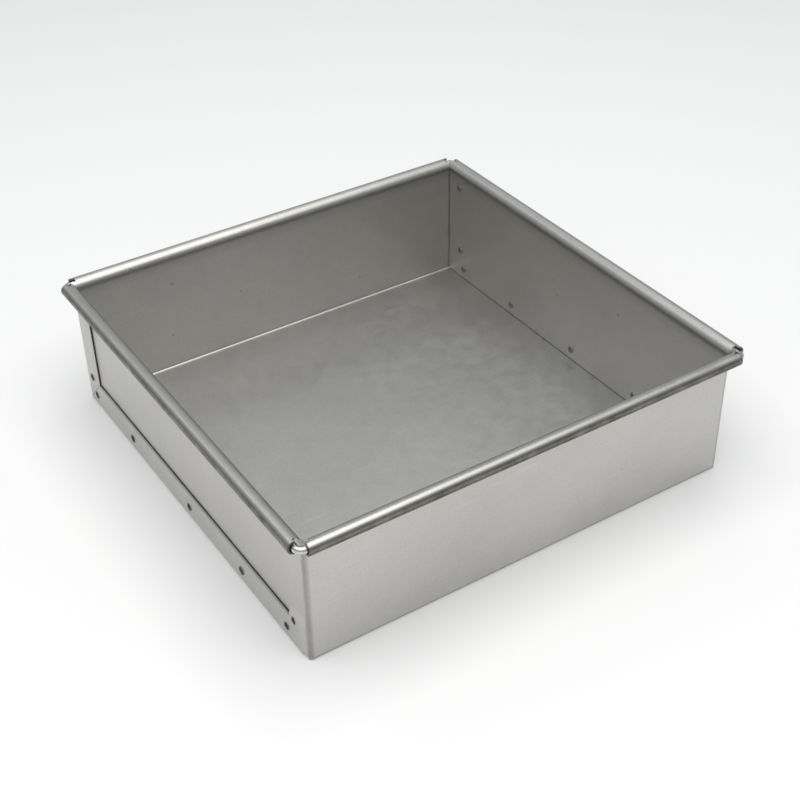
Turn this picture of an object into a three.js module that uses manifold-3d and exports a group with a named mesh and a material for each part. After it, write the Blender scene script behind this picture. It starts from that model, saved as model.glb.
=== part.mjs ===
// Square baking pan: one folded aluminium blank, rim rolled round a wire, laps held by hollow rivets.
// Millimetres, +Z up. Origin: centre of the underside. -Y is the front, the two lapped sides are -X and +X.
import * as THREE from 'three';
import { mergeVertices } from 'three/addons/utils/BufferGeometryUtils.js';
import Module from 'manifold-3d';

// ---- driving dimensions -------------------------------------------------------------------------------
const BODY = 254;            // outside width of the walls, both ways
const SHEET = 1;             // sheet thickness
const GAP = 0.3;             // room left between layers and between separate pieces
const FOLD = 2;              // outside radius of the fold between floor and front or back wall
const CORNER = 2.5;          // outside radius of the front upright corners
const LAP_HEIGHT = 17.5;     // floor laps, turned up outside the left and right walls
const LAP_DEPTH = 16.5;      // back wall laps, turned forward outside the left and right walls
const EAR = 16;              // where the folded front corner ear ends and the lap comes out
const EAR_RAMP = 11;         // the ear rises out of the front corner over this length
const EAR_STEP = 0.3;        // how far the ear's top layer stands proud of the lap
const EAR_TOP = 26;          // height where that layer runs back into the wall
const RIM_HEIGHT = 78;       // overall height
const WIRE = 3.8;            // rim wire diameter
const ROLL_BORE = 5;         // inside diameter of the rolled rim, loose round the wire
const BEAD_OUT = 4.3;        // centre of the rolled rim, outside the wall's outer face
const LEAD_RADIUS = 10;      // easy curve that leads each wall out into its roll
const BEAD_END = 0.6;        // how far each roll runs on past the wall that it meets
const POST_TOP = 75.5;       // height of the plain sheet left standing in each corner
const CURL_END = -150;       // angle of the roll's free lip, from the outward direction, degrees
const SHANK = 1.8;           // rivet shank radius
const BORE = 1.3;            // rivet bore radius
const RIVET_HEAD = 2.3;      // rivet head radius
const RIVET_DOME = 0.9;      // rivet head height
const RIVET_LIP = 0.4;       // thickness of the rivet's rolled outer lip

// Rivet places along each side, measured back from the front wall, and up from the underside.
const ROW_HEIGHT = 7.5;
const LEFT_ROW = [20, 65.5, 123.5, 193.5, 243];
const RIGHT_ROW = [20, 67.5, 124.5, 184.5, 236];
const EAR_RIVET = [12, 17.7];
const BACK_LOW = { left: [246, 18.5], right: [240, 20] };
const BACK_HIGH = [241.4, 64.5];

// ---- worked out ---------------------------------------------------------------------------------------
const HALF = BODY / 2;
const INNER = HALF - SHEET;
const LAP_IN = HALF + GAP;
const LAP_OUT = LAP_IN + SHEET;
const BEAD_IN_R = ROLL_BORE / 2;
const BEAD_R = BEAD_IN_R + SHEET;
const BEAD_Z = RIM_HEIGHT - BEAD_R;
const RING = HALF + BEAD_OUT;
const BEAD_REACH = HALF + BEAD_END;
// The lead-in arc is centred LEAD_RADIUS outside the wall's inner face and touches the roll from outside.
const LEAD_U = LEAD_RADIUS - SHEET;
const LEAD_DROP = Math.sqrt((LEAD_RADIUS - BEAD_R) ** 2 - (LEAD_U - BEAD_OUT) ** 2);
const LEAD_Z = BEAD_Z - LEAD_DROP;
const LEAD_ANGLE = Math.atan2(LEAD_DROP, BEAD_OUT - LEAD_U);
const FLAT_END = HALF - CORNER;

const wasm = await Module();
wasm.setup();

const aluminium = new THREE.MeshStandardMaterial({ color: 0xb4b3b0, roughness: 0.42, metalness: 1 });
const wireMetal = new THREE.MeshStandardMaterial({ color: 0xd6d6d4, roughness: 0.22, metalness: 1 });
const rivetMetal = new THREE.MeshStandardMaterial({ color: 0x9a9a97, roughness: 0.4, metalness: 1 });

// ---- helpers ------------------------------------------------------------------------------------------
function solidFrom(geometry) {
  const bare = geometry.clone();
  bare.deleteAttribute('normal');
  bare.deleteAttribute('uv');
  const merged = mergeVertices(bare, 1e-4);
  const vertProperties = new Float32Array(merged.attributes.position.array);
  const triVerts = new Uint32Array(merged.index.array);
  return new wasm.Manifold(new wasm.Mesh({ numProp: 3, vertProperties, triVerts }));
}

function geometryFrom(solid) {
  const mesh = solid.getMesh();
  const geometry = new THREE.BufferGeometry();
  geometry.setAttribute('position', new THREE.BufferAttribute(new Float32Array(mesh.vertProperties), 3));
  geometry.setIndex(new THREE.BufferAttribute(new Uint32Array(mesh.triVerts), 1));
  geometry.computeVertexNormals();
  return geometry;
}

// An outline of [a, b] points made solid along one axis, from low to high.
// 'x': the outline is (y, z); 'y': it is (x, z); 'z': it is (x, y).
function prism(axis, outline, low, high) {
  const shape = new THREE.Shape(outline.map(([a, b]) => new THREE.Vector2(a, b)));
  const geometry = new THREE.ExtrudeGeometry(shape, { depth: high - low, bevelEnabled: false, steps: 1 });
  const turn = new THREE.Matrix4();
  if (axis === 'x') {
    turn.makeBasis(new THREE.Vector3(0, 1, 0), new THREE.Vector3(0, 0, 1), new THREE.Vector3(1, 0, 0));
    turn.setPosition(low, 0, 0);
  } else if (axis === 'y') {
    turn.makeBasis(new THREE.Vector3(1, 0, 0), new THREE.Vector3(0, 0, 1), new THREE.Vector3(0, -1, 0));
    turn.setPosition(0, high, 0);
  } else {
    turn.setPosition(0, 0, low);
  }
  geometry.applyMatrix4(turn);
  return solidFrom(geometry);
}

function block(x0, x1, y0, y1, z0, z1) {
  const geometry = new THREE.BoxGeometry(x1 - x0, y1 - y0, z1 - z0);
  geometry.translate((x0 + x1) / 2, (y0 + y1) / 2, (z0 + z1) / 2);
  return solidFrom(geometry);
}

// A rectangle from (a0, b0) to (a1, b1) with its own radius at each corner, anticlockwise from (a0, b0).
function roundedBox(a0, b0, a1, b1, radii) {
  const corners = [[a0, b0, 180], [a1, b0, 270], [a1, b1, 0], [a0, b1, 90]];
  const outline = [];
  corners.forEach(([a, b, start], i) => {
    const r = radii[i];
    const ca = a === a0 ? a + r : a - r;
    const cb = b === b0 ? b + r : b - r;
    const steps = r > 0 ? 5 : 0;
    for (let k = 0; k <= steps; k += 1) {
      const t = THREE.MathUtils.degToRad(start + (steps ? 90 * k / steps : 0));
      outline.push([ca + r * Math.cos(t), cb + r * Math.sin(t)]);
    }
  });
  return outline;
}

function arc(centre, radius, from, to, steps) {
  const points = [];
  for (let k = 0; k <= steps; k += 1) {
    const t = from + (to - from) * k / steps;
    points.push([centre[0] + radius * Math.cos(t), centre[1] + radius * Math.sin(t)]);
  }
  return points;
}

// ---- the sheet ----------------------------------------------------------------------------------------
// Floor, four plain walls and the corner posts, all one skin.
function plainTray() {
  const top = POST_TOP;
  const rounds = [CORNER, CORNER, 0, 0];
  const innerRounds = [CORNER - SHEET, CORNER - SHEET, 0, 0];
  const foldIn = FOLD - SHEET;
  const outside = prism('z', roundedBox(-HALF, -HALF, HALF, HALF, rounds), 0, top)
    .intersect(prism('x', roundedBox(-HALF, 0, HALF, top, [FOLD, FOLD, 0, 0]), -HALF, HALF));
  const inside = prism('z', roundedBox(-INNER, -INNER, INNER, INNER, innerRounds), SHEET, top + 1)
    .intersect(prism('x', roundedBox(-INNER, SHEET, INNER, top + 1, [foldIn, foldIn, 0, 0]), -INNER, INNER));
  const keep = FLAT_END + GAP;
  return outside.subtract(inside)
    .subtract(block(-keep, keep, -HALF - 1, HALF + 1, LEAD_Z, top + 1))
    .subtract(block(-HALF - 1, HALF + 1, -keep, keep, LEAD_Z, top + 1));
}

// One wall's rolled rim. The section is in (outward, up); the roll runs along Y, then turns to its side.
function rolledRim(quarterTurns) {
  const lead = [LEAD_U, LEAD_Z];
  const bead = [BEAD_OUT, BEAD_Z];
  const lip = THREE.MathUtils.degToRad(CURL_END);
  const section = [
    ...arc(lead, LEAD_RADIUS, Math.PI, LEAD_ANGLE, 3),
    ...arc(bead, BEAD_R, LEAD_ANGLE, lip, 19).slice(1),
    ...arc(bead, BEAD_IN_R, lip, LEAD_ANGLE, 19),
    ...arc(lead, LEAD_RADIUS - SHEET, LEAD_ANGLE, Math.PI, 3).slice(1),
  ];
  const outline = section.map(([u, z]) => [HALF + u, z]);
  const clear = BEAD_OUT - BEAD_R + GAP / 2;
  const whole = prism('y', outline, -BEAD_REACH, BEAD_REACH);
  const ends = [-1, 1].map((s) => {
    const near = Math.min(s * FLAT_END, s * (BEAD_REACH + 1));
    const far = Math.max(s * FLAT_END, s * (BEAD_REACH + 1));
    return block(INNER - 1, HALF + clear, near, far, LEAD_Z - 1, RIM_HEIGHT + 1);
  });
  const trimmed = whole.subtract(ends[0]).subtract(ends[1]);
  return trimmed.rotate([0, 0, 90 * quarterTurns]);
}

// The right side's laps, standing off the wall by GAP: floor lap and back lap, parted by a mitre.
function rightLap() {
  const front = -HALF + EAR;
  const lapTop = LEAD_Z - GAP;
  const floorLap = block(LAP_IN, LAP_OUT, front, HALF, 0, LAP_HEIGHT);
  const backLap = block(LAP_IN, LAP_OUT, HALF - LAP_DEPTH, HALF, 0, lapTop);
  const floorEdge = block(INNER, LAP_OUT, front, HALF, 0, SHEET);
  const backEdge = block(INNER, LAP_OUT, INNER, HALF, 0, lapTop);
  const skew = LAP_HEIGHT / LAP_DEPTH;
  const mitre = prism('x', [
    [HALF - SHEET, SHEET * skew],
    [HALF - SHEET, SHEET * skew + GAP * 1.4],
    [HALF - LAP_DEPTH - 1, (LAP_DEPTH + 1) * skew + GAP * 1.4],
    [HALF - LAP_DEPTH - 1, (LAP_DEPTH + 1) * skew],
  ].reverse(), LAP_IN - GAP / 2, LAP_OUT + 1);
  return floorLap.add(backLap).add(floorEdge).add(backEdge).subtract(mitre);
}

// The folded corner ear on the right: the lap pressed flat below the diagonal, and the top layer,
// one with the wall, pressed over it above the diagonal. It ramps out of the corner and up the wall.
function rightEar() {
  const front = -HALF + CORNER / 2;
  const back = -HALF + EAR;
  const full = -HALF + EAR_RAMP;
  const top = LAP_OUT + EAR_STEP;
  const under = block(INNER, LAP_OUT, front, back, 0, LAP_HEIGHT);
  const over = prism('x', [
    [front, CORNER / 2], [back, LAP_HEIGHT], [back, EAR_TOP], [front, EAR_TOP],
  ], INNER, top);
  const inPlan = prism('z', [
    [INNER, front], [HALF - 0.2, front], [top, full], [top, back], [INNER, back],
  ], 0, EAR_TOP);
  const inFront = prism('y', [
    [INNER, 0], [top, 0], [top, LAP_HEIGHT + 1], [HALF, EAR_TOP], [INNER, EAR_TOP],
  ], front, back);
  return under.add(over).intersect(inPlan).intersect(inFront);
}

// Slots that free the right wall from the floor and from the back wall.
function rightWallSlots() {
  const floorSlot = block(INNER - 0.1, LAP_IN, -HALF + EAR, INNER, SHEET, SHEET + GAP);
  const backSlot = block(INNER - 0.1, LAP_IN, INNER - GAP, INNER, SHEET, POST_TOP + 1);
  const lapGap = block(HALF, LAP_IN, -HALF + EAR, INNER, SHEET, LEAD_Z);
  return floorSlot.add(backSlot).add(lapGap);
}

function bothSides(right) {
  return right.add(right.mirror([1, 0, 0]));
}

// ---- rivets -------------------------------------------------------------------------------------------
// Each rivet: name, side (-1 left, +1 right), distance back from the front wall, height, layers' thickness.
const lapStack = 2 * SHEET + GAP;
const earStack = lapStack + EAR_STEP;
const rivets = [];
for (const [side, word, row] of [[-1, 'left', LEFT_ROW], [1, 'right', RIGHT_ROW]]) {
  row.forEach((back, i) => {
    rivets.push({ name: `${word}_lap_rivet_${i + 1}`, side, back, up: ROW_HEIGHT, stack: lapStack });
  });
  rivets.push({ name: `${word}_ear_rivet`, side, back: EAR_RIVET[0], up: EAR_RIVET[1], stack: earStack });
  const [lowBack, lowUp] = BACK_LOW[word];
  rivets.push({ name: `${word}_back_rivet_low`, side, back: lowBack, up: lowUp, stack: lapStack });
  rivets.push({ name: `${word}_back_rivet_high`, side, back: BACK_HIGH[0], up: BACK_HIGH[1], stack: lapStack });
}

// The rivet's axis is +Y while it is turned, with the wall's inner face at 0 and the outside at +Y.
function rivetGeometry(stack) {
  const head = -GAP;
  const lip = stack + GAP;
  const profile = [
    [0, head - RIVET_DOME],
    [RIVET_HEAD * 0.55, head - RIVET_DOME * 0.84],
    [RIVET_HEAD * 0.9, head - RIVET_DOME * 0.44],
    [RIVET_HEAD, head],
    [SHANK, head],
    [SHANK, lip],
    [RIVET_HEAD, lip],
    [RIVET_HEAD * 0.93, lip + RIVET_LIP * 0.7],
    [(RIVET_HEAD + BORE) / 2, lip + RIVET_LIP],
    [BORE, lip + RIVET_LIP * 0.5],
    [BORE, SHEET],
    [0, SHEET - BORE / 2],
  ].map(([r, h]) => new THREE.Vector2(r, h));
  return new THREE.LatheGeometry(profile, 12);
}

function rivetMesh({ name, side, back, up, stack }) {
  const geometry = rivetGeometry(stack);
  geometry.rotateZ(-side * Math.PI / 2);
  const mesh = new THREE.Mesh(geometryFrom(solidFrom(geometry)), rivetMetal);
  mesh.name = name;
  mesh.position.set(side * INNER, back - HALF, up);
  return mesh;
}

function rivetHole({ side, back, up }) {
  const geometry = new THREE.CylinderGeometry(SHANK + GAP, SHANK + GAP, 8, 12);
  geometry.rotateZ(Math.PI / 2);
  geometry.translate(side * HALF, back - HALF, up);
  return solidFrom(geometry);
}

// ---- the rim wire -------------------------------------------------------------------------------------
// A square ring with small round corners, open by a butt joint in the middle of the back rim.
class RimPath extends THREE.Curve {
  constructor() {
    super();
    const bend = RING - BEAD_REACH;
    const straight = RING - bend;
    const joint = GAP / 2;
    this.stations = [{ at: new THREE.Vector2(-joint, RING), way: Math.PI }];
    for (let corner = 0; corner < 4; corner += 1) {
      const start = Math.PI / 2 * (corner + 1);
      const centre = new THREE.Vector2(-straight, straight);
      centre.rotateAround(new THREE.Vector2(), corner * Math.PI / 2);
      for (let k = 0; k <= 5; k += 1) {
        const t = start + Math.PI / 2 * k / 5;
        const at = centre.clone().add(new THREE.Vector2(bend * Math.cos(t), bend * Math.sin(t)));
        this.stations.push({ at, way: t + Math.PI / 2 });
      }
    }
    this.stations.push({ at: new THREE.Vector2(joint, RING), way: Math.PI });
  }

  station(u) {
    return this.stations[Math.round(u * (this.stations.length - 1))];
  }

  getPointAt(u, target = new THREE.Vector3()) {
    const { at } = this.station(u);
    return target.set(at.x, at.y, BEAD_Z);
  }

  getTangentAt(u, target = new THREE.Vector3()) {
    const { way } = this.station(u);
    return target.set(Math.cos(way), Math.sin(way), 0);
  }
}

function rimWire() {
  const path = new RimPath();
  const round = new THREE.Shape();
  round.absarc(0, 0, WIRE / 2, 0, Math.PI * 2, false);
  const geometry = new THREE.ExtrudeGeometry(round, {
    steps: path.stations.length - 1,
    curveSegments: 12,
    extrudePath: path,
    bevelEnabled: false,
  });
  const mesh = new THREE.Mesh(geometry, wireMetal);
  mesh.name = 'rim_wire';
  return mesh;
}

// ---- assembly -----------------------------------------------------------------------------------------
function panSheet() {
  let sheet = plainTray().subtract(bothSides(rightWallSlots()));
  sheet = sheet.add(bothSides(rightLap())).add(bothSides(rightEar()));
  for (let side = 0; side < 4; side += 1) {
    sheet = sheet.add(rolledRim(side));
  }
  for (const rivet of rivets) {
    sheet = sheet.subtract(rivetHole(rivet));
  }
  const mesh = new THREE.Mesh(geometryFrom(sheet), aluminium);
  mesh.name = 'pan_sheet';
  return mesh;
}

const pan = new THREE.Group();
pan.add(panSheet());
pan.add(rimWire());
rivets.forEach((rivet) => pan.add(rivetMesh(rivet)));

export default pan;
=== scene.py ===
"""Square baking pan folded from one aluminium blank, its rim rolled round a wire, its laps held by rivets."""
import math

import bmesh
import bpy
from mathutils import Matrix, Vector


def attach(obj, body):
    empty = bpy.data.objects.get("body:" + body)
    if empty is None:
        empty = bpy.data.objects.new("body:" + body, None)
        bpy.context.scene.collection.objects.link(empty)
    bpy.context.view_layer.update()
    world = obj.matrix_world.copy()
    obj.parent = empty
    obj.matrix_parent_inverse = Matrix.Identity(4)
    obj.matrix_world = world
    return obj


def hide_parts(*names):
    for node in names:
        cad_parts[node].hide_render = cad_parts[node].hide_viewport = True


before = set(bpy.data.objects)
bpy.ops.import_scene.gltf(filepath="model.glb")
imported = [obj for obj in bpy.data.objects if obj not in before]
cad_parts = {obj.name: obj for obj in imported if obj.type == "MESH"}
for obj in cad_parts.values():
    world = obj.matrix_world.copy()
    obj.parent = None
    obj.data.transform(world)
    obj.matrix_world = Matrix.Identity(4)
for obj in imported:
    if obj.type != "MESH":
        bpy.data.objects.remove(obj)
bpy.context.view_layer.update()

# ---- 1. The folded pan -------------------------------------------------------------------------------
# One blank of 1 mm mill-finish aluminium. Floor, front wall and back wall are one bent strip; the side
# walls come round the front corners, and the laps left over are turned up outside them, standing off
# by the thickness of a knife. Lengths are millimetres, laid out as the blank is bent.
MM = 0.001
HALF = 127.0            # half the outside width
SHEET = 1.0             # sheet thickness
INNER = HALF - SHEET
GAP = 0.3               # clearance between layers
FOLD = 2.2              # outside bend radius along the floor
CORNER = 1.8            # outside bend radius of the front upright corners
FLAT_TOP = 58.0         # height where the plain wall passes into the rim strip
FLAT_END = HALF - CORNER
PLAIN_TOP = 72.6        # height where the corners start to flare out with the rolls beside them
FLARE_TOP = 77.3
FLARE_RADIUS = 5.4      # inside face
LAP_IN = HALF + GAP
LAP_OUT = LAP_IN + SHEET
LAP_HEIGHT = 17.5       # floor laps
LAP_DEPTH = 16.5        # back wall laps
LAP_TOP = 69.6          # top of the back laps, just under the roll
LAP_FOLD = 1.7          # outside bend radius of the laps
LAP_LEAN = 0.05         # how far a lap's free edge springs away from the wall
EAR = 16.0              # length of the folded front corner
EAR_STEP = 0.3          # its top layer over the lap
EAR_TOP = 26.0          # height where it dies back into the wall
BURIED = 0.9            # how far into the wall its hidden back reaches
MITRE_GAP = 0.35
SEAM_GAP = 0.16         # half the gap of the mitred seam above the back corners
RIVET_HOLE = 1.75       # radius


def arc(centre, radius, start, end, steps):
    """Points on an arc, angles in degrees."""
    points = []
    for k in range(steps + 1):
        turn = math.radians(start + (end - start) * k / steps)
        points.append((centre[0] + radius * math.cos(turn), centre[1] + radius * math.sin(turn)))
    return points


def smooth(low, high, value):
    """0 below low, 1 above high, with soft ends."""
    t = min(1.0, max(0.0, (value - low) / (high - low)))
    return t * t * (3 - 2 * t)


def link_mesh(name, shell):
    """A bmesh laid out in millimetres becomes an object in metres, with its faces pointing out."""
    bmesh.ops.recalc_face_normals(shell, faces=shell.faces)
    bmesh.ops.scale(shell, vec=(MM, MM, MM), verts=shell.verts)
    mesh = bpy.data.meshes.new(name)
    shell.to_mesh(mesh)
    shell.free()
    made = bpy.data.objects.new(name, mesh)
    bpy.context.collection.objects.link(made)
    return made


def loft(name, rings):
    """A closed solid through rings that all have the same number of points."""
    shell = bmesh.new()
    loops = [[shell.verts.new(point) for point in ring] for ring in rings]
    for first, second in zip(loops, loops[1:]):
        for i in range(len(first)):
            j = (i + 1) % len(first)
            shell.faces.new((first[i], first[j], second[j], second[i]))
    shell.faces.new(loops[0][::-1])
    shell.faces.new(loops[-1])
    return link_mesh(name, shell)


def along(axis, outline, at):
    """An outline set across an axis: 'x' takes (y, z), 'y' takes (x, z), 'z' takes (x, y)."""
    if axis == "x":
        return [(at, a, b) for a, b in outline]
    if axis == "y":
        return [(a, at, b) for a, b in outline]
    return [(a, b, at) for a, b in outline]


def prism(axis, outline, low, high):
    return loft("prism", [along(axis, outline, low), along(axis, outline, high)])


def block(x0, x1, y0, y1, z0, z1):
    return prism("z", [(x0, y0), (x1, y0), (x1, y1), (x0, y1)], z0, z1)


def rounded(a0, b0, a1, b1, radii):
    """A rectangle with its own radius at each corner, anticlockwise from (a0, b0)."""
    outline = []
    for (a, b, start), r in zip([(a0, b0, 180), (a1, b0, 270), (a1, b1, 0), (a0, b1, 90)], radii):
        if r:
            centre = (a + r if a == a0 else a - r, b + r if b == b0 else b - r)
            outline += arc(centre, r, start, start + 90, 10)
        else:
            outline.append((a, b))
    return outline


def settle(made):
    """Bakes an object's modifiers into a plain mesh."""
    seen = made.evaluated_get(bpy.context.evaluated_depsgraph_get())
    mesh = bpy.data.meshes.new_from_object(seen)
    made.modifiers.clear()
    made.data = mesh
    return made


def combine(base, other, how):
    step = base.modifiers.new("step", "BOOLEAN")
    step.operation = how
    step.solver = "MANIFOLD"
    step.object = other
    settle(base)
    bpy.data.objects.remove(other)
    return base


def mirrored(made):
    """The same solid on the other side of the pan."""
    shell = bmesh.new()
    shell.from_mesh(made.data)
    bmesh.ops.scale(shell, vec=(-1 / MM, 1 / MM, 1 / MM), verts=shell.verts)
    return link_mesh(made.name, shell)


def fold_section(inset):
    """Floor and walls in section, set in from the outside, with the bends along the floor."""
    bend = FOLD - inset
    return rounded(-HALF + inset, inset, HALF - inset, PLAIN_TOP + 2, (bend, bend, 0, 0))


def bend_tray():
    """Floor, walls and corner posts, one skin, with the top cut away where the rim strips sit."""
    outer_bends = (CORNER, CORNER, 0, 0)
    inner_bends = (CORNER - SHEET, CORNER - SHEET, 0, 0)
    tray = prism("z", rounded(-HALF, -HALF, HALF, HALF, outer_bends), 0, PLAIN_TOP)
    combine(tray, prism("x", fold_section(0), -HALF - 1, HALF + 1), "INTERSECT")
    hollow = prism("z", rounded(-INNER, -INNER, INNER, INNER, inner_bends), SHEET, PLAIN_TOP + 1)
    combine(hollow, prism("x", fold_section(SHEET), -INNER - 1, INNER + 1), "INTERSECT")
    combine(tray, hollow, "DIFFERENCE")
    combine(tray, block(-FLAT_END, FLAT_END, -HALF - 1, HALF + 1, FLAT_TOP, PLAIN_TOP + 1), "DIFFERENCE")
    combine(tray, block(-HALF - 1, HALF + 1, -FLAT_END, FLAT_END, FLAT_TOP, PLAIN_TOP + 1), "DIFFERENCE")
    return tray


def front_corner_flare():
    """The round front corner on the right, opening outwards as the walls beside it lead into their rolls."""
    rings = []
    for k in range(13):
        z = PLAIN_TOP - 0.05 + (FLARE_TOP - PLAIN_TOP + 0.05) * k / 12
        spread = FLARE_RADIUS - math.sqrt(FLARE_RADIUS ** 2 - max(0.0, z - PLAIN_TOP) ** 2)
        centre = (FLAT_END, -FLAT_END)
        outer = arc(centre, CORNER + spread, 270, 360, 12)
        inner = arc(centre, CORNER + spread - SHEET, 360, 270, 12)
        out, side = HALF + spread, FLAT_END - 0.3
        outline = [(side, -out)] + outer + [(out, -side), (out - SHEET, -side)] + inner
        outline.append((side, SHEET - out))
        rings.append(along("z", outline, z))
    return loft("front_corner_flare", rings)


def back_corner_flares():
    """On the right at the back, both walls lead out towards their rolls and meet on a mitred seam."""
    curve = (HALF + FLARE_RADIUS - SHEET, PLAIN_TOP)
    outline = [(INNER, PLAIN_TOP - 0.1)] + arc(curve, FLARE_RADIUS, 180, 120, 12)
    outline += arc(curve, FLARE_RADIUS - SHEET, 120, 180, 12) + [(HALF, PLAIN_TOP - 0.1)]
    far = HALF + 6
    side_wall = prism("y", outline, FLAT_END - 0.2, far)
    back_wall = prism("x", outline, FLAT_END - 0.2, far)
    start, end = FLAT_END - 3, far + 3
    for wall, beyond in [
        (side_wall, [(start, start - SEAM_GAP), (end, end - SEAM_GAP), (start, end)]),
        (back_wall, [(start - SEAM_GAP, start), (end, start), (end - SEAM_GAP, end)]),
    ]:
        combine(wall, prism("z", beyond, PLAIN_TOP - 2, FLARE_TOP + 3), "DIFFERENCE")
    return side_wall, back_wall


def floor_lap():
    """The floor turned up outside the right wall. Its free edge leans out, and dies into the mitre."""
    rings = []
    front = -HALF + EAR
    for k in range(61):
        y = front + (HALF - front) * k / 60
        closes = smooth(HALF - 34, HALF - 14, y)
        spring = LAP_LEAN * (1 - closes) * (1 + 0.25 * math.sin(y * 0.047 + 1))
        corner_out = (LAP_OUT - LAP_FOLD, LAP_FOLD)
        inner_r = LAP_FOLD - SHEET
        outline = [(INNER, 0)] + arc(corner_out, LAP_FOLD, 270, 360, 8)
        outline += [(LAP_OUT + spring * 0.5, LAP_HEIGHT * 0.6)]
        outline += [(LAP_OUT + spring, LAP_HEIGHT - 0.6), (LAP_OUT + spring - 0.55, LAP_HEIGHT)]
        outline += [(LAP_IN + spring + 0.15, LAP_HEIGHT), (LAP_IN + spring, LAP_HEIGHT - 0.15)]
        outline += [(LAP_IN + spring * 0.5, LAP_HEIGHT * 0.6)]
        outline += arc(corner_out, inner_r, 360, 270, 6) + [(INNER, SHEET)]
        rings.append(along("y", outline, y))
    return loft("floor_lap", rings)


def back_lap():
    """The back wall turned forward outside the right wall, from the mitre up to the roll."""
    rings = []
    for k in range(41):
        z = LAP_TOP * k / 40
        spring = 0.2 * smooth(14, 26, z) * (1 + 0.2 * math.sin(z * 0.12))
        front = HALF - LAP_DEPTH
        corner_out = (LAP_OUT - LAP_FOLD, HALF - LAP_FOLD)
        outline = [(INNER, HALF)] + arc(corner_out, LAP_FOLD, 90, 0, 8)
        outline += [(LAP_OUT + spring * 0.4, front + LAP_DEPTH * 0.45)]
        outline += [(LAP_OUT + spring, front + 0.6), (LAP_OUT + spring - 0.55, front)]
        outline += [(LAP_IN + spring + 0.15, front), (LAP_IN + spring, front + 0.15)]
        outline += [(LAP_IN + spring * 0.4, front + LAP_DEPTH * 0.45)]
        outline += arc(corner_out, LAP_FOLD - SHEET, 0, 90, 6) + [(INNER, INNER)]
        rings.append(along("z", outline, z))
    return loft("back_lap", rings)


def cut_mitre(floor_part, back_part):
    """The two laps meet on a mitre from the bottom back corner, with a hair's gap."""
    rise = LAP_HEIGHT / LAP_DEPTH
    reach = LAP_DEPTH + 4
    low = [(HALF + 1, -rise), (HALF + 1, -3), (HALF - reach, -3), (HALF - reach, reach * rise)]
    high = [(HALF + 1, -rise), (HALF - reach, reach * rise), (HALF - reach, 90), (HALF + 1, 90)]
    combine(back_part, prism("x", low, LAP_IN - 0.35, LAP_OUT + 2), "DIFFERENCE")
    high = [(a, b - MITRE_GAP) for a, b in high]
    combine(floor_part, prism("x", high, LAP_IN - 0.35, LAP_OUT + 2), "DIFFERENCE")


def ear_rise(s, z):
    """How far the folded corner stands out from the wall, s back from the front and z up."""
    front = smooth(0.6, 7.0, s)
    top = 1 - smooth(LAP_HEIGHT + 1.0, EAR_TOP, z)
    over = (z - s * LAP_HEIGHT / EAR) / math.hypot(1, LAP_HEIGHT / EAR)
    step = smooth(-0.25, 0.35, over)
    foot = 0.0
    if z < LAP_FOLD:
        foot = LAP_FOLD - math.sqrt(max(0.0, LAP_FOLD ** 2 - (LAP_FOLD - z) ** 2))
    if s < CORNER:
        foot += CORNER - math.sqrt(CORNER ** 2 - (CORNER - s) ** 2)
    spring = LAP_LEAN * z / LAP_HEIGHT
    return front * top * (LAP_OUT - HALF + spring + EAR_STEP * step) - foot


def corner_ear():
    """The front corner's spare sheet, folded flat against the right wall."""
    steps = 64
    shell = bmesh.new()
    outer, buried = [], []
    for i in range(steps + 1):
        s = 1.0 + (EAR - 1.0) * i / steps
        outer.append([])
        buried.append([])
        for j in range(steps + 1):
            z = EAR_TOP * (j / steps) ** 1.15
            outer[i].append(shell.verts.new((HALF + ear_rise(s, z) - 0.02, s - HALF, z)))
            buried[i].append(shell.verts.new((HALF - BURIED, s - HALF, z)))
    for i in range(steps):
        for j in range(steps):
            for grid in (outer, buried):
                shell.faces.new((grid[i][j], grid[i + 1][j], grid[i + 1][j + 1], grid[i][j + 1]))
    edge = [(i, 0) for i in range(steps)] + [(steps, j) for j in range(steps)]
    edge += [(i, steps) for i in range(steps, 0, -1)] + [(0, j) for j in range(steps, 0, -1)]
    for (i, j), (k, m) in zip(edge, edge[1:] + edge[:1]):
        shell.faces.new((outer[i][j], outer[k][m], buried[k][m], buried[i][j]))
    ear = link_mesh("corner_ear", shell)
    return combine(ear, prism("x", fold_section(0), HALF - 1, HALF + 4), "INTERSECT")


# Rivet places on each side: distance back from the front wall, and height, in millimetres.
ROW_HEIGHT = 7.5
rivet_places = {
    -1: [(s, ROW_HEIGHT) for s in (20, 65.5, 123.5, 193.5, 243)] + [(12, 17.7), (246, 18.5), (241.4, 64.5)],
    1: [(s, ROW_HEIGHT) for s in (20, 67.5, 124.5, 184.5, 236)] + [(12, 17.7), (240, 20), (241.4, 64.5)],
}


def crease_and_smooth(made, angle):
    """Bends shade smoothly, cut edges stay crisp, and flats stay flat."""
    for face in made.data.polygons:
        face.use_smooth = True
    made.data.set_sharp_from_angle(angle=math.radians(angle))
    weigh = made.modifiers.new("weigh", "WEIGHTED_NORMAL")
    weigh.keep_sharp = True
    weigh.weight = 80
    return settle(made)


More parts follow.
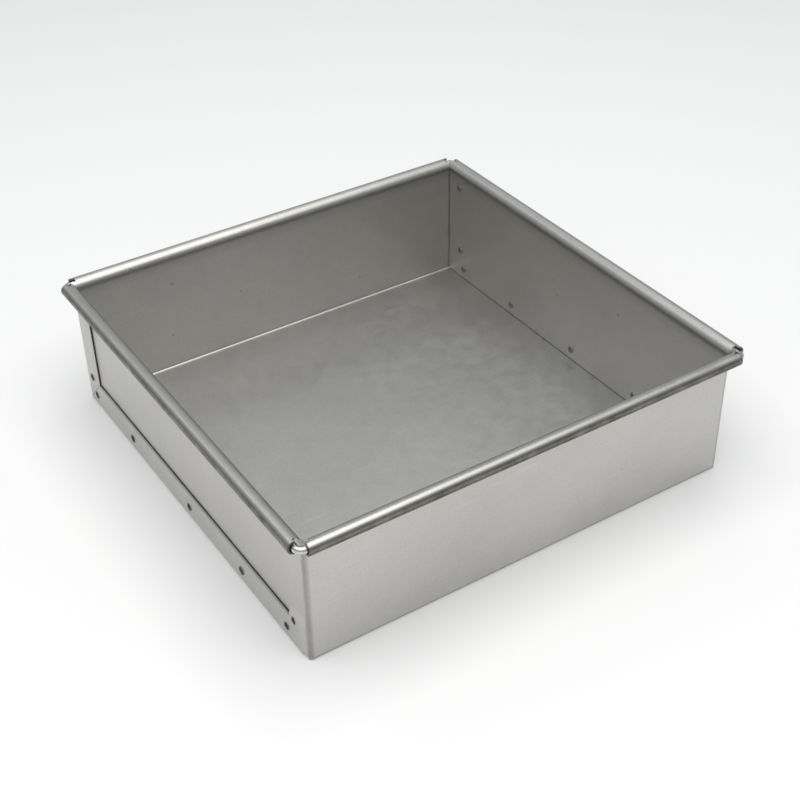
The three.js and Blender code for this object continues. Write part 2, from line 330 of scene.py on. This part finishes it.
pan = bend_tray()
pan.name = "folded_pan"
slots = [
    block(INNER - 0.2, HALF + 0.1, -HALF + EAR, INNER, SHEET, SHEET + 0.35),
    block(INNER - 0.2, HALF + 0.1, INNER - 0.45, INNER, SHEET, PLAIN_TOP + 1),
]
for slot in slots:
    combine(pan, mirrored(slot), "DIFFERENCE")
    combine(pan, slot, "DIFFERENCE")
right_floor_lap = floor_lap()
right_back_lap = back_lap()
cut_mitre(right_floor_lap, right_back_lap)
for part in (front_corner_flare(), *back_corner_flares(), right_floor_lap, right_back_lap, corner_ear()):
    combine(pan, mirrored(part), "UNION")
    combine(pan, part, "UNION")
for side, places in rivet_places.items():
    for back, up in places:
        centre = (back - HALF, up)
        drill = prism("x", arc(centre, RIVET_HOLE, 0, 337.5, 15), side * (INNER - 2), side * (LAP_OUT + 3))
        combine(pan, drill, "DIFFERENCE")
crease_and_smooth(pan, 32)


def sheet_finish(name):
    """Mill-finish aluminium: cloudy rolling marks, fine slanting grain, scuffs, specks and slight waves, with
    painted shade under and round the rolls, in their cut ends and down the front corners.
    """
    finish = bpy.data.materials.new(name)
    finish.use_nodes = True
    tree = finish.node_tree
    tree.nodes.clear()

    def feed(socket, value):
        if isinstance(value, bpy.types.NodeSocket):
            tree.links.new(value, socket)
        else:
            socket.default_value = value

    def node(kind, **sockets):
        made = tree.nodes.new(kind)
        for key, value in sockets.items():
            feed(made.inputs[key.replace("_", " ")], value)
        return made

    def noise(vector, scale, detail, roughness=0.5):
        return node("ShaderNodeTexNoise", Vector=vector, Scale=scale, Detail=detail,
                    Roughness=roughness).outputs[0]

    def calc(kind, *values):
        made = tree.nodes.new("ShaderNodeMath")
        made.operation = kind
        for socket, value in zip(made.inputs, values):
            feed(socket, value)
        return made.outputs[0]

    def weighed(total, marks):
        """Adds each kind of mark to a total at its own weight."""
        for mark, weight in marks:
            total = calc("MULTIPLY_ADD", mark, weight, total)
        return total

    def fade(value, low, high, start=0.0, end=1.0):
        """Runs from start to end as a length goes from low to high, in millimetres."""
        return node("ShaderNodeMapRange", Value=value, From_Min=low * MM, From_Max=high * MM, To_Min=start,
                    To_Max=end).outputs[0]

    def ramp(source, stops):
        made = node("ShaderNodeValToRGB", Fac=source)
        bar = made.color_ramp
        bar.elements[0].position, bar.elements[0].color = stops[0][0], (*stops[0][1], 1)
        bar.elements[1].position, bar.elements[1].color = stops[-1][0], (*stops[-1][1], 1)
        for position, value in stops[1:-1]:
            bar.elements.new(position).color = (*value, 1)
        return made.outputs["Color"]

    def grey_ramp(source, stops):
        return ramp(source, [(position, [value] * 3) for position, value in stops])

    # Marks: each is a pattern between 0 and 1.
    where = node("ShaderNodeTexCoord").outputs["Object"]
    clouds = noise(where, 14.0, 4.0, 0.55)
    mottle = noise(where, 110.0, 5.0, 0.6)
    grit = noise(where, 850.0, 2.0, 0.6)
    waves = noise(where, 11.0, 1.0)
    slant = node("ShaderNodeMapping", Vector=where, Rotation=(0.5, 0.62, 0.6), Scale=(90.0, 1400.0, 1400.0))
    grain = noise(slant.outputs[0], 1.0, 3.0, 0.7)
    cross = node("ShaderNodeMapping", Vector=where, Rotation=(0.2, -0.5, -0.9), Scale=(25.0, 700.0, 500.0))
    scuff = grey_ramp(noise(cross.outputs[0], 1.0, 2.0), [(0.66, 0.0), (0.74, 1.0)])
    cells = node("ShaderNodeTexVoronoi", Vector=where, Scale=46.0)
    dots = grey_ramp(cells.outputs["Distance"], [(0.03, 1.0), (0.055, 0.0)])
    draw = node("ShaderNodeSeparateColor", Color=cells.outputs["Color"]).outputs[0]
    specks = calc("MULTIPLY", dots, calc("GREATER_THAN", draw, 0.6))

    # Painted shade: a dark tint laid under the roll and round its outside, in the roll's cut ends, and down
    # the two front corners, where shade and dark reflections fall.
    axes = node("ShaderNodeSeparateXYZ", Vector=where).outputs
    x, y, z = calc("ABSOLUTE", axes["X"]), calc("ABSOLUTE", axes["Y"]), axes["Z"]
    outermost, innermost = calc("MAXIMUM", x, y), calc("MINIMUM", x, y)
    # Painted shade in a band under the roll: full strength outside the wall, half strength on the inside
    # lead-in.
    below = grey_ramp(fade(z, 66, 80), [(0.0, 0.0), (0.36, 0.35), (0.5, 1.0), (0.6, 1.0), (0.74, 0.0)])
    shade_under_roll = calc("MULTIPLY", below, fade(outermost, HALF + 0.5, HALF + 4.0, 0.5))
    # Painted shade round the roll's outer side, fading out towards its top.
    shade_round_roll = calc("MULTIPLY", fade(outermost, HALF + 3.4, HALF + 4.8), fade(z, 76.3, 77.6, 0.86, 0.0))
    # Painted shadow in the hollow cut ends of the rolls.
    on_roll = calc("MULTIPLY", calc("GREATER_THAN", outermost, (HALF + 1.6) * MM),
                   calc("GREATER_THAN", z, 70.5 * MM))
    shade_in_cut_end = calc("MULTIPLY", fade(innermost, HALF + 0.05, HALF + 0.5), on_roll)
    # Painted shade down the two front corners, standing in for the dark reflection on the bend.
    across, back = calc("SUBTRACT", x, HALF * MM), calc("ADD", axes["Y"], (HALF - 0.6) * MM)
    from_corner = calc("SQRT", calc("ADD", calc("MULTIPLY", across, across), calc("MULTIPLY", back, back)))
    # All the painted shade zones together, broken up by mottle on the next line.
    bent = calc("MAXIMUM", calc("MAXIMUM", shade_under_roll, shade_round_roll), fade(from_corner, 0.6, 2.8, 0.5, 0.0))
    shade_mottle = calc("MULTIPLY_ADD", mottle, 0.9, 0.5)
    painted_shade = calc("MAXIMUM", calc("MULTIPLY", bent, shade_mottle), shade_in_cut_end)

    tone = calc("MULTIPLY_ADD", clouds, 0.24, 0.24)
    tone = weighed(tone, [(mottle, 0.10), (grain, 0.16), (grit, 0.26), (scuff, 0.05), (specks, -0.5)])
    tint = ramp(tone, [(0.35, (0.40, 0.394, 0.381)), (0.85, (0.66, 0.65, 0.628))])
    # Mixes the painted shade's dark brown into the metal's colour.
    shaded_tint = node("ShaderNodeMix")
    shaded_tint.data_type = "RGBA"
    feed(shaded_tint.inputs["Factor"], calc("MULTIPLY", painted_shade, 0.97))
    feed(shaded_tint.inputs["A"], tint)
    feed(shaded_tint.inputs["B"], (0.1, 0.088, 0.075, 1))
    gloss = calc("MULTIPLY_ADD", mottle, 0.16, 0.25)
    gloss = weighed(gloss, [(grain, 0.12), (scuff, -0.05)])
    broad = node("ShaderNodeBump", Strength=0.18, Distance=0.8 * MM, Height=waves)
    dents = node("ShaderNodeBump", Strength=0.25, Distance=0.12 * MM, Height=mottle, Normal=broad.outputs[0])
    fine = node("ShaderNodeBump", Strength=0.3, Distance=0.03 * MM, Height=grain, Normal=dents.outputs[0])
    metal = node("ShaderNodeBsdfPrincipled", Base_Color=shaded_tint.outputs["Result"], Metallic=1.0,
                 Roughness=gloss, Normal=fine.outputs[0])
    node("ShaderNodeOutputMaterial", Surface=metal.outputs[0])
    return finish


mill_finish = sheet_finish("mill_finish_aluminium")
pan.data.materials.clear()
pan.data.materials.append(mill_finish)
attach(pan, "root")
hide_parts("pan_sheet")

# ---- 2. The rolled rim -------------------------------------------------------------------------------
# The top of each wall leads out on an easy curve and rolls down and round the wire, like the hem on a
# bucket. Each side is rolled on its own and stops at the corners, so the wire shows bare between them.
LEAD_RADIUS = FLARE_RADIUS      # inside face of the lead-in curve
ROLL_RADIUS = 3.5
ROLL_OUT = 4.3          # roll centre, outside the wall's outer face
ROLL_HEIGHT = 74.5
ROLL_REACH = HALF + 0.6
LIP_ANGLE = -150.0      # where the roll's free edge stops, from the outward direction
LEAD_OUT = LEAD_RADIUS - SHEET
lead_drop = math.sqrt((LEAD_RADIUS - ROLL_RADIUS) ** 2 - (LEAD_OUT - ROLL_OUT) ** 2)
LEAD_HEIGHT = ROLL_HEIGHT - lead_drop
LEAD_ANGLE = math.degrees(math.atan2(lead_drop, ROLL_OUT - LEAD_OUT))


def rolled_rim_tree(material):
    """Sweeps the strip's inside face along one wall, gives it its thickness, and repeats it four times."""
    tree = bpy.data.node_groups.new("rolled_rim", "GeometryNodeTree")
    tree.interface.new_socket("Geometry", in_out="INPUT", socket_type="NodeSocketGeometry")
    tree.interface.new_socket("Geometry", in_out="OUTPUT", socket_type="NodeSocketGeometry")
    sizes = {
        "Wall face": (HALF - SHEET) * MM, "Flat from": FLAT_TOP * MM, "Flat to": LEAD_HEIGHT * MM,
        "Lead centre out": (HALF + LEAD_OUT) * MM, "Lead radius": LEAD_RADIUS * MM,
        "Lead sweep": math.radians(LEAD_ANGLE - 180), "Roll centre out": (HALF + ROLL_OUT) * MM,
        "Roll height": ROLL_HEIGHT * MM, "Roll radius": ROLL_RADIUS * MM,
        "Roll start": math.radians(LEAD_ANGLE), "Roll sweep": math.radians(LIP_ANGLE - LEAD_ANGLE),
        "Flat length": 2 * FLAT_END * MM, "Roll overrun": (ROLL_REACH - FLAT_END) * MM, "Sheet": SHEET * MM,
    }
    for name, value in sizes.items():
        socket = tree.interface.new_socket(name, in_out="INPUT", socket_type="NodeSocketFloat")
        socket.default_value = value
    given = tree.nodes.new("NodeGroupInput").outputs
    link = tree.links.new

    def node(kind, **settings):
        made = tree.nodes.new(kind)
        for key, value in settings.items():
            setattr(made, key, value)
        return made

    def feed(made, **sockets):
        for key, value in sockets.items():
            socket = made.inputs[key.replace("_", " ")]
            if isinstance(value, bpy.types.NodeSocket):
                link(value, socket)
            else:
                socket.default_value = value
        return made

    def vector(x=0.0, y=0.0, z=0.0):
        return feed(node("ShaderNodeCombineXYZ"), X=x, Y=y, Z=z).outputs[0]

    def calc(kind, *values):
        made = node("ShaderNodeMath", operation=kind)
        for socket, value in zip(made.inputs, values):
            if isinstance(value, bpy.types.NodeSocket):
                link(value, socket)
            else:
                socket.default_value = value
        return made.outputs[0]

    def bent(radius, start, sweep, out, up, steps):
        """An arc laid across the wall, standing on edge, its centre out from the middle and up."""
        curve = feed(node("GeometryNodeCurveArc", mode="RADIUS"), Resolution=steps, Radius=radius,
                     Start_Angle=start, Sweep_Angle=sweep)
        stood = feed(node("GeometryNodeTransform"), Geometry=curve.outputs["Curve"],
                     Rotation=(math.radians(90), 0, 0), Translation=vector(x=out, z=up))
        return feed(node("GeometryNodeCurveToMesh"), Curve=stood.outputs[0]).outputs[0]

    def swept(edges, start, lengths):
        """Edges moved to the start of the run, then drawn along it length by length."""
        moved = feed(node("GeometryNodeTransform"), Geometry=edges, Translation=vector(y=start))
        mesh, top = moved.outputs[0], None
        for length in lengths:
            draw = feed(node("GeometryNodeExtrudeMesh", mode="EDGES"), Mesh=mesh, Offset=vector(y=length),
                        Offset_Scale=1.0)
            if top is not None:
                link(top, draw.inputs["Selection"])
            mesh, top = draw.outputs["Mesh"], draw.outputs["Top"]
        return mesh

    line = feed(node("GeometryNodeCurvePrimitiveLine"),
                Start=vector(x=given["Wall face"], z=given["Flat from"]),
                End=vector(x=given["Wall face"], z=given["Flat to"]))
    flat = feed(node("GeometryNodeCurveToMesh"), Curve=line.outputs[0]).outputs[0]
    lead = bent(given["Lead radius"], math.pi, given["Lead sweep"], given["Lead centre out"],
                given["Flat to"], 16)
    roll = bent(given["Roll radius"], given["Roll start"], given["Roll sweep"], given["Roll centre out"],
                given["Roll height"], 56)
    flat_start = calc("MULTIPLY", given["Flat length"], -0.5)
    roll_start = calc("SUBTRACT", flat_start, given["Roll overrun"])
    strips = node("GeometryNodeJoinGeometry")
    link(swept(flat, flat_start, [given["Flat length"]]), strips.inputs[0])
    link(swept(lead, flat_start, [given["Flat length"]]), strips.inputs[0])
    run = [given["Roll overrun"], given["Flat length"], given["Roll overrun"]]
    link(swept(roll, roll_start, run), strips.inputs[0])
    face = feed(node("GeometryNodeMergeByDistance"), Geometry=strips.outputs[0], Distance=1e-6).outputs[0]
    thick = feed(node("GeometryNodeExtrudeMesh", mode="FACES"), Mesh=face, Offset_Scale=given["Sheet"],
                 Individual=False)
    turned = feed(node("GeometryNodeFlipFaces"), Mesh=face)
    both = node("GeometryNodeJoinGeometry")
    link(thick.outputs["Mesh"], both.inputs[0])
    link(turned.outputs[0], both.inputs[0])
    closed = feed(node("GeometryNodeMergeByDistance"), Geometry=both.outputs[0], Distance=1e-6)
    points = feed(node("GeometryNodePoints"), Count=4)
    index = node("GeometryNodeInputIndex")
    quarter_turns = vector(z=calc("MULTIPLY", index.outputs[0], math.pi / 2))
    sides = feed(node("GeometryNodeInstanceOnPoints"), Points=points.outputs[0],
                 Instance=closed.outputs[0], Rotation=quarter_turns)
    real = feed(node("GeometryNodeRealizeInstances"), Geometry=sides.outputs[0])
    coated = feed(node("GeometryNodeSetMaterial"), Geometry=real.outputs[0], Material=material)
    link(coated.outputs[0], node("NodeGroupOutput").inputs[0])
    return tree


def grown(name, tree, carrier=None):
    """Runs a node tree on an object and keeps its result as a plain mesh."""
    made = carrier or bpy.data.objects.new(name, bpy.data.meshes.new(name))
    if carrier is None:
        bpy.context.collection.objects.link(made)
    step = made.modifiers.new("grow", "NODES")
    step.node_group = tree
    for item in tree.interface.items_tree:
        if item.in_out == "INPUT" and item.socket_type == "NodeSocketFloat":
            step[item.identifier] = item.default_value
    return settle(made)


rim = grown("rolled_rim", rolled_rim_tree(mill_finish))
shell = bmesh.new()
shell.from_mesh(rim.data)
bmesh.ops.recalc_face_normals(shell, faces=shell.faces)
shell.to_mesh(rim.data)
shell.free()
crease_and_smooth(rim, 40)
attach(rim, "root")
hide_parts("pan_sheet")

# ---- 3. The rim wire ---------------------------------------------------------------------------------
# A ring of bright drawn steel wire, bent square with tight corners and butted in the middle of the back.
# The rolled rim holds it; it shows only round the four corners, where handling keeps it polished.
WIRE_RADIUS = 1.9
WIRE_LINE = HALF + ROLL_OUT
WIRE_BEND = 3.7
WIRE_JOINT = 0.15


def bent_wire():
    """Rings round the wire's line, from the joint at the back round all four bends."""
    stations = [((-WIRE_JOINT, WIRE_LINE), 180.0)]
    straight = WIRE_LINE - WIRE_BEND
    for corner in range(4):
        turn = Matrix.Rotation(math.radians(90 * corner), 2)
        centre = turn @ Vector((-straight, straight))
        for point in arc((0, 0), WIRE_BEND, 90 * (corner + 1), 90 * (corner + 2), 14):
            at = centre + Vector(point)
            stations.append((tuple(at), math.degrees(math.atan2(point[1], point[0])) + 90))
    stations.append(((WIRE_JOINT, WIRE_LINE), 180.0))
    rings = []
    for (x, y), way in stations:
        side = Vector((math.sin(math.radians(way)), -math.cos(math.radians(way)), 0))
        ring = []
        for a, b in arc((0, 0), WIRE_RADIUS, 0, 345, 23):
            ring.append(Vector((x, y, ROLL_HEIGHT)) + side * a + Vector((0, 0, b)))
        rings.append(ring)
    return loft("bent_rim_wire", rings)


def bright_finish(name, colour, roughness, marks):
    """Drawn or formed metal: a clear colour with fine lengthways marks and a little dulling."""
    finish = bpy.data.materials.new(name)
    finish.use_nodes = True
    tree = finish.node_tree
    metal = tree.nodes["Principled BSDF"]
    where = tree.nodes.new("ShaderNodeTexCoord")
    marks_noise = tree.nodes.new("ShaderNodeTexNoise")
    marks_noise.inputs["Scale"].default_value = marks
    marks_noise.inputs["Detail"].default_value = 4.0
    tree.links.new(where.outputs["Object"], marks_noise.inputs["Vector"])
    tint = tree.nodes.new("ShaderNodeValToRGB")
    tint.color_ramp.elements[0].position = 0.3
    tint.color_ramp.elements[0].color = (*[c * 0.72 for c in colour], 1)
    tint.color_ramp.elements[1].position = 0.65
    tint.color_ramp.elements[1].color = (*colour, 1)
    tree.links.new(marks_noise.outputs[0], tint.inputs[0])
    tree.links.new(tint.outputs[0], metal.inputs["Base Color"])
    gloss = tree.nodes.new("ShaderNodeMapRange")
    gloss.inputs["To Min"].default_value = roughness * 1.5
    gloss.inputs["To Max"].default_value = roughness * 0.6
    tree.links.new(marks_noise.outputs[0], gloss.inputs["Value"])
    tree.links.new(gloss.outputs[0], metal.inputs["Roughness"])
    bump = tree.nodes.new("ShaderNodeBump")
    bump.inputs["Strength"].default_value = 0.25
    bump.inputs["Distance"].default_value = 0.00004
    tree.links.new(marks_noise.outputs[0], bump.inputs["Height"])
    tree.links.new(bump.outputs[0], metal.inputs["Normal"])
    metal.inputs["Metallic"].default_value = 1.0
    return finish


def paint_shade_in_cup(finish):
    """Paints shade into the rivet's open end: the inside of the bore is turned dark."""
    tree = finish.node_tree
    metal = tree.nodes["Principled BSDF"]
    tint = metal.inputs["Base Color"].links[0].from_socket
    cup = tree.nodes.new("ShaderNodeAttribute")
    cup.attribute_name = "cup"
    mix = tree.nodes.new("ShaderNodeMix")
    mix.data_type = "RGBA"
    # The dark colour of the painted shade in the bore.
    mix.inputs["B"].default_value = (0.08, 0.077, 0.072, 1)
    tree.links.new(cup.outputs["Fac"], mix.inputs["Factor"])
    tree.links.new(tint, mix.inputs["A"])
    tree.links.new(mix.outputs["Result"], metal.inputs["Base Color"])
    return finish


wire = crease_and_smooth(bent_wire(), 40)
wire.data.materials.append(bright_finish("bright_drawn_wire", (0.66, 0.66, 0.65), 0.32, 900.0))
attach(wire, "root")
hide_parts("rim_wire")

# ---- 4. The rivets -----------------------------------------------------------------------------------
# Hollow aluminium rivets: a low domed head inside the pan, and a tube rolled over outside that leaves a small
# hole, painted dark inside as shade, with a bright ring. They hold the laps and the folded corners to the
# side walls.
HEAD_RADIUS = 2.3
HEAD_HEIGHT = 0.85
SHANK = 1.8
BORE = 1.75
LIP_HEIGHT = 0.4
SEAT = 0.05             # how far the head and the lip sit into the sheet
LAYERS = 2 * SHEET + GAP


def turned_rivet(stack):
    """The rivet on its axis, +Z to the outside, the wall's inner face at height 0."""
    profile = [(0, -HEAD_HEIGHT)]
    for k in range(1, 8):
        t = math.radians(90 * k / 7)
        profile.append((HEAD_RADIUS * math.sin(t), -HEAD_HEIGHT * math.cos(t) - 0.02))
    profile += [(HEAD_RADIUS, SEAT), (SHANK, SEAT), (SHANK, stack - SEAT), (HEAD_RADIUS, stack - SEAT)]
    middle = (HEAD_RADIUS + BORE) / 2
    reach = (HEAD_RADIUS - BORE) / 2
    for k in range(9):
        t = math.radians(180 * k / 8)
        profile.append((middle + reach * math.cos(t), stack + LIP_HEIGHT * math.sin(t)))
    profile += [(BORE * 0.93, stack - 0.5), (BORE * 0.8, stack - 1.3)]
    profile += [(BORE * 0.45, SHEET * 0.7), (0, SHEET * 0.6)]
    steps = 24
    shell = bmesh.new()
    tip, end = shell.verts.new((0, 0, profile[0][1])), shell.verts.new((0, 0, profile[-1][1]))
    loops = []
    for r, h in profile[1:-1]:
        loops.append([shell.verts.new((a, b, h)) for a, b in arc((0, 0), r, 0, 345, steps - 1)])
    for first, second in zip(loops, loops[1:]):
        for i in range(steps):
            j = (i + 1) % steps
            shell.faces.new((first[i], first[j], second[j], second[i]))
    for i in range(steps):
        j = (i + 1) % steps
        shell.faces.new((tip, loops[0][j], loops[0][i]))
        shell.faces.new((end, loops[-1][i], loops[-1][j]))
    made = link_mesh("turned_rivet", shell)
    # Marks the inside of the bore for the painted shade.
    cup = made.data.attributes.new("cup", "FLOAT", "POINT")
    for i, vert in enumerate(made.data.vertices):
        inside = vert.co.z > 0 and math.hypot(vert.co.x, vert.co.y) < (BORE + 0.02) * MM
        cup.data[i].value = 1.0 if inside else 0.0
    return made


def rivet_tree(rivet, material):
    """Sets a rivet on every point, its axis along the point's stored direction, each a little askew."""
    tree = bpy.data.node_groups.new("rivets", "GeometryNodeTree")
    tree.interface.new_socket("Geometry", in_out="INPUT", socket_type="NodeSocketGeometry")
    tree.interface.new_socket("Geometry", in_out="OUTPUT", socket_type="NodeSocketGeometry")
    for name, value in {"Smallest": 0.95, "Largest": 1.04, "Askew": 0.05}.items():
        socket = tree.interface.new_socket(name, in_out="INPUT", socket_type="NodeSocketFloat")
        socket.default_value = value
    given = tree.nodes.new("NodeGroupInput").outputs
    link = tree.links.new
    side = tree.nodes.new("GeometryNodeInputNamedAttribute")
    side.data_type = "FLOAT"
    side.inputs["Name"].default_value = "side"
    tilt = tree.nodes.new("ShaderNodeMath")
    tilt.operation = "MULTIPLY_ADD"
    link(side.outputs[0], tilt.inputs[0])
    tilt.inputs[1].default_value = math.pi / 2
    askew = tree.nodes.new("FunctionNodeRandomValue")
    askew.inputs["Seed"].default_value = 11
    less = tree.nodes.new("ShaderNodeMath")
    less.operation = "MULTIPLY"
    less.inputs[1].default_value = -1.0
    link(given["Askew"], less.inputs[0])
    link(less.outputs[0], askew.inputs[2])
    link(given["Askew"], askew.inputs[3])
    link(askew.outputs[1], tilt.inputs[2])
    turn = tree.nodes.new("ShaderNodeCombineXYZ")
    link(tilt.outputs[0], turn.inputs["Y"])
    size = tree.nodes.new("FunctionNodeRandomValue")
    size.inputs["Seed"].default_value = 5
    link(given["Smallest"], size.inputs[2])
    link(given["Largest"], size.inputs[3])
    pattern = tree.nodes.new("GeometryNodeObjectInfo")
    pattern.inputs["Object"].default_value = rivet
    pattern.inputs["As Instance"].default_value = True
    put = tree.nodes.new("GeometryNodeInstanceOnPoints")
    link(given["Geometry"], put.inputs["Points"])
    link(pattern.outputs["Geometry"], put.inputs["Instance"])
    link(turn.outputs[0], put.inputs["Rotation"])
    link(size.outputs[1], put.inputs["Scale"])
    real = tree.nodes.new("GeometryNodeRealizeInstances")
    link(put.outputs[0], real.inputs[0])
    coated = tree.nodes.new("GeometryNodeSetMaterial")
    coated.inputs["Material"].default_value = material
    link(real.outputs[0], coated.inputs[0])
    link(coated.outputs[0], tree.nodes.new("NodeGroupOutput").inputs[0])
    return tree


points = bpy.data.meshes.new("rivet_places")
spots = [(side * INNER * MM, (back - HALF) * MM, up * MM)
         for side, places in rivet_places.items() for back, up in places]
points.from_pydata(spots, [], [])
facing = points.attributes.new("side", "FLOAT", "POINT")
facing.data.foreach_set("value", [1.0 if x > 0 else -1.0 for x, _, _ in spots])
rivets = bpy.data.objects.new("tubular_rivets", points)
bpy.context.collection.objects.link(rivets)
pattern_rivet = turned_rivet(LAYERS)
rivet_finish = paint_shade_in_cup(bright_finish("formed_rivet", (0.27, 0.267, 0.26), 0.5, 1200.0))
grown("tubular_rivets", rivet_tree(pattern_rivet, rivet_finish), rivets)
bpy.data.objects.remove(pattern_rivet)
crease_and_smooth(rivets, 50)
rivet_nodes = []
for word in ("left", "right"):
    rivet_nodes += [f"{word}_lap_rivet_{i}" for i in range(1, 6)]
    rivet_nodes += [f"{word}_ear_rivet", f"{word}_back_rivet_low", f"{word}_back_rivet_high"]
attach(rivets, "root")
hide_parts(*rivet_nodes)

# ---- 5. Floor, light and camera ----------------------------------------------------------------------
# The pan stands on a plain pale floor under one wide overhead softbox, in a dim grey studio, with two
# small lamps behind it that draw a line along the rolls. It is seen from the front left and above.
FLOOR_REACH = 3000.0    # millimetres each way
FLOOR_DROP = 0.1        # below the pan's underside
LIGHT_HEIGHT = 1.5      # metres, as are the softboxes' places and sizes


def stage_floor():
    """A pale matt floor, laid just under the pan."""
    shell = bmesh.new()
    corners = [(-1, -1), (1, -1), (1, 1), (-1, 1)]
    shell.faces.new([shell.verts.new((x * FLOOR_REACH, y * FLOOR_REACH, -FLOOR_DROP)) for x, y in corners])
    made = link_mesh("studio_floor", shell)
    paint = bpy.data.materials.new("pale_floor")
    paint.use_nodes = True
    matt = paint.node_tree.nodes["Principled BSDF"]
    matt.inputs["Base Color"].default_value = (0.9, 0.9, 0.9, 1)
    matt.inputs["Roughness"].default_value = 0.9
    matt.inputs["Specular IOR Level"].default_value = 0.1
    made.data.materials.append(paint)


def softbox(name, centre, width, depth, power, aim, colour=(1, 1, 1)):
    """A rectangular lamp hung at a place and turned to face another."""
    lamp = bpy.data.lights.new(name, "AREA")
    lamp.shape = "RECTANGLE"
    lamp.size, lamp.size_y = width, depth
    lamp.energy = power
    lamp.color = colour
    made = bpy.data.objects.new(name, lamp)
    made.location = centre
    made.rotation_euler = (Vector(aim) - Vector(centre)).to_track_quat("-Z", "Y").to_euler()
    bpy.context.collection.objects.link(made)


stage_floor()
softbox("overhead", (-0.24, -0.32, LIGHT_HEIGHT), 2.0, 1.8, 24.5, aim=(-0.24, -0.32, 0),
        colour=(1.0, 0.975, 0.955))
softbox("back_right", (0.6, 1.25, LIGHT_HEIGHT), 0.6, 0.5, 0.55, aim=(0.1, 0.4, 0))
softbox("back_left", (-0.45, 1.35, LIGHT_HEIGHT), 0.35, 0.35, 0.8, aim=(0.1, 0, 0))
world = bpy.data.worlds.new("grey_studio")
world.use_nodes = True
world.node_tree.nodes["Background"].inputs["Color"].default_value = (0.405, 0.43, 0.44, 1)
bpy.context.scene.world = world
bpy.context.scene.view_settings.view_transform = "Standard"

CAMERA_AZIMUTH = -32.34
CAMERA_ELEVATION = 36.628
CAMERA_ROLL = -1.221
CAMERA_DISTANCE = 766.2 # millimetres, as is the point looked at
LOOK_AT = Vector((-8.85, -22.85, 39.0))
LENS = 64.23
azimuth, elevation = math.radians(CAMERA_AZIMUTH), math.radians(CAMERA_ELEVATION)
ahead = Vector((-math.sin(azimuth) * math.cos(elevation), math.cos(azimuth) * math.cos(elevation),
                -math.sin(elevation)))
lens = bpy.data.cameras.new("camera")
lens.lens = LENS
lens.sensor_width = 36.0
camera = bpy.data.objects.new("camera", lens)
camera.matrix_world = (
    Matrix.Translation((LOOK_AT - ahead * CAMERA_DISTANCE) * MM)
    @ ahead.to_track_quat("-Z", "Y").to_matrix().to_4x4()
    @ Matrix.Rotation(math.radians(CAMERA_ROLL), 4, "Z")
)
bpy.context.collection.objects.link(camera)
bpy.context.scene.camera = camera
